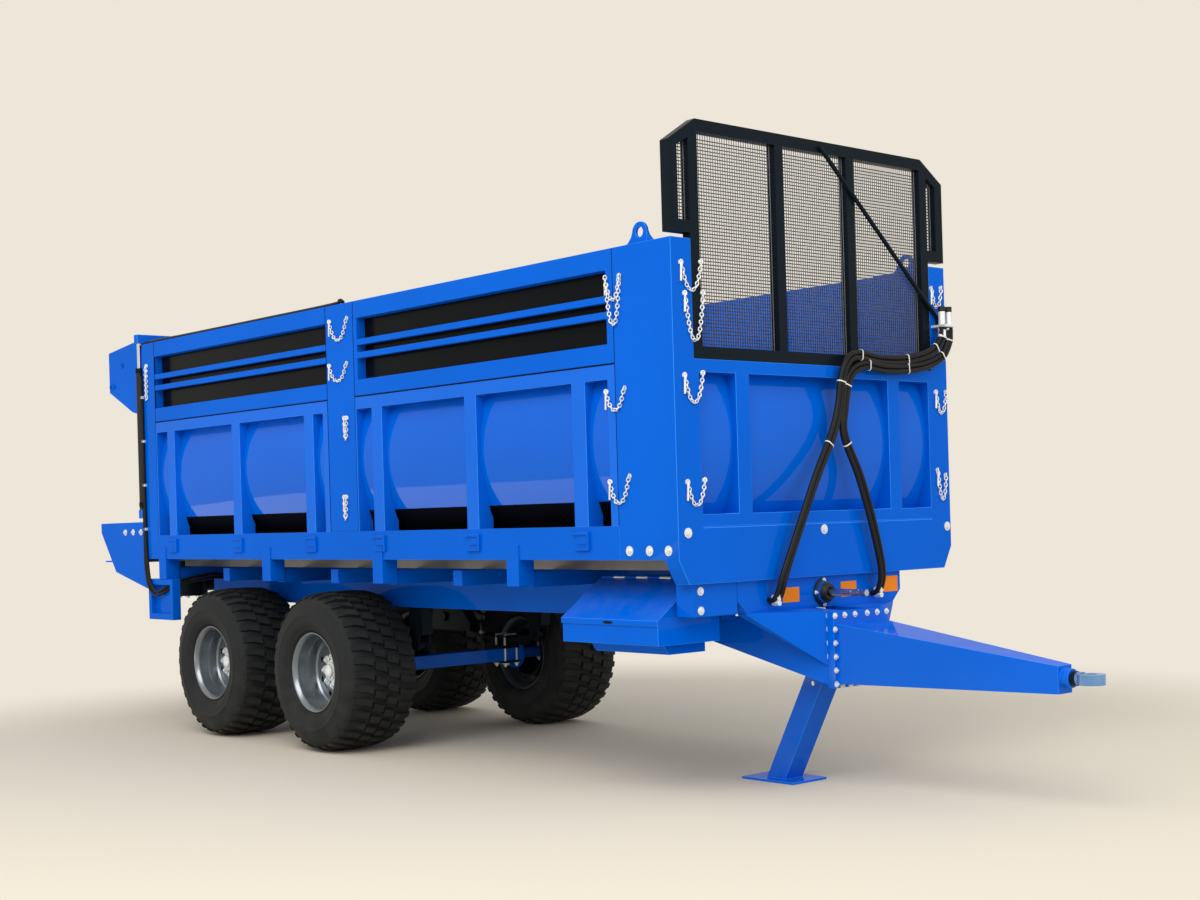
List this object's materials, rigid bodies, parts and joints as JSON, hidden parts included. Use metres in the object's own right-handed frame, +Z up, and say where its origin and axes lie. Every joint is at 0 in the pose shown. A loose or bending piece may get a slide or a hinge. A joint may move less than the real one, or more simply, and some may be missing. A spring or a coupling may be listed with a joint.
{
  "type": "manure and fertilizer spreader trailer",
  "caption": "Two-axle spreader trailer with a steel load box, wire front screen, floor conveyor, lifting rear gate and upright beaters.",
  "frame": {"origin": "on the ground below the middle of the whole length, in the trailer's middle plane", "axes": "+X forward to the drawbar, +Y to the trailer's left, +Z up"},
  "size_m": [7.56, 2.07, 3.17],
  "materials": {
    "blue_paint": "gloss enamel",
    "black_paint": "satin enamel",
    "black_coat": "matte coating",
    "wire_steel": "satin wire",
    "bare_steel": "machined steel",
    "floor_steel": "rolled plate",
    "chain_steel": "oiled steel",
    "rim_silver": "silver lacquer",
    "tyre_rubber": "matte rubber",
    "chrome_rod": "polished",
    "hose_rubber": "satin rubber",
    "zinc": "zinc plated",
    "label_orange": "plain orange film"
  },
  "bodies": {
    "root": {"chassis": "blue_paint", "bearers": "blue_paint", "front_frame": "blue_paint", "drawbar": "blue_paint", "sills": "blue_paint", "front_pillars": "blue_paint", "wall_posts": "blue_paint", "lower_frames": "blue_paint", "belly_panels": "blue_paint", "floor_skirts": "black_coat", "extensions": "blue_paint", "liner_panels": "black_coat", "front_wall": "blue_paint", "front_apron": "blue_paint", "front_posts": "blue_paint", "screen_frame": "black_paint", "screen_mesh": "wire_steel", "floor": "floor_steel", "conveyor": "chain_steel", "springs": "black_paint", "axles": "blue_paint", "tool_box": "blue_paint", "oil_tank": "blue_paint", "rear_skirts": "blue_paint", "gate_guides": "blue_paint", "gate_barrels": "black_paint", "beater_housing": "blue_paint", "beater_drive": "black_paint", "hoses": "hose_rubber", "coupler_rack": "zinc"},
    "eye": {"towing_eye": "bare_steel"},
    "wheel_front_right": {"rim_front_right": "rim_silver", "tyre_front_right": "tyre_rubber"},
    "wheel_front_left": {"rim_front_left": "rim_silver", "tyre_front_left": "tyre_rubber"},
    "wheel_rear_right": {"rim_rear_right": "rim_silver", "tyre_rear_right": "tyre_rubber"},
    "wheel_rear_left": {"rim_rear_left": "rim_silver", "tyre_rear_left": "tyre_rubber"},
    "lid": {"tool_lid": "blue_paint"},
    "leg": {"stand_leg": "blue_paint"},
    "stand_cylinder": {"stand_barrel": "black_paint"},
    "stand_piston": {"stand_rod": "chrome_rod"},
    "gate": {"rear_gate": "blue_paint", "gate_rods": "chrome_rod"},
    "beater_r": {"beater_right": "blue_paint"},
    "beater_l": {"beater_left": "blue_paint"},
    "driveline": {"drive_shaft": "bare_steel"}
  },
  "joints": [
    {"name": "wheel_front_right_spin", "type": "hinge", "parent": "root", "child": "wheel_front_right", "pos_m": [-0.905, 0, 0.475], "axis": [0, 1, 0], "continuous": true},
    {"name": "wheel_front_left_spin", "type": "hinge", "parent": "root", "child": "wheel_front_left", "pos_m": [-0.905, 0, 0.475], "axis": [0, 1, 0], "continuous": true},
    {"name": "wheel_rear_right_spin", "type": "hinge", "parent": "root", "child": "wheel_rear_right", "pos_m": [-2.141, 0, 0.475], "axis": [0, 1, 0], "continuous": true},
    {"name": "wheel_rear_left_spin", "type": "hinge", "parent": "root", "child": "wheel_rear_left", "pos_m": [-2.141, 0, 0.475], "axis": [0, 1, 0], "continuous": true},
    {"name": "eye_swivel", "type": "hinge", "parent": "root", "child": "eye", "pos_m": [3.65, 0, 0.6], "axis": [1, 0, 0], "continuous": true},
    {"name": "lid_open", "type": "hinge", "parent": "root", "child": "lid", "pos_m": [1.755, -0.737, 1.049], "axis": [-1, 0, 0], "range_deg": [0, 53]},
    {"name": "leg_fold", "type": "hinge", "parent": "root", "child": "leg", "pos_m": [2.245, 0, 0.6], "axis": [0, 1, 0], "range_deg": [0, 55]},
    {"name": "stand_cylinder_tilt", "type": "hinge", "parent": "root", "child": "stand_cylinder", "pos_m": [1.73, 0, 0.78], "axis": [0, 1, 0], "range_deg": [-4.4, 0]},
    {"name": "stand_rod_slide", "type": "slide", "parent": "stand_cylinder", "child": "stand_piston", "axis": [-0.8582, 0, 0.5133], "range_m": [0, 0.095]},
    {"name": "gate_lift", "type": "slide", "parent": "root", "child": "gate", "axis": [0, 0, 1], "range_m": [0, 0.8]},
    {"name": "beater_right_spin", "type": "hinge", "parent": "root", "child": "beater_r", "pos_m": [-3.44, -0.44, 1.2], "axis": [0, 0, 1], "continuous": true},
    {"name": "beater_left_spin", "type": "hinge", "parent": "root", "child": "beater_l", "pos_m": [-3.44, 0.44, 1.2], "axis": [0, 0, 1], "continuous": true},
    {"name": "drive_spin", "type": "hinge", "parent": "root", "child": "driveline", "pos_m": [1.25, 0, 0.95], "axis": [1, 0, 0], "continuous": true}
  ],
  "couplings": [
    {"joint": "stand_cylinder_tilt", "follows": "leg_fold", "ratio": -0.0782},
    {"joint": "stand_rod_slide", "follows": "leg_fold", "m_per_rad": 0.0984},
    {"joint": "beater_left_spin", "follows": "beater_right_spin", "ratio": -1},
    {"joint": "drive_spin", "follows": "beater_right_spin", "ratio": 1}
  ]
}
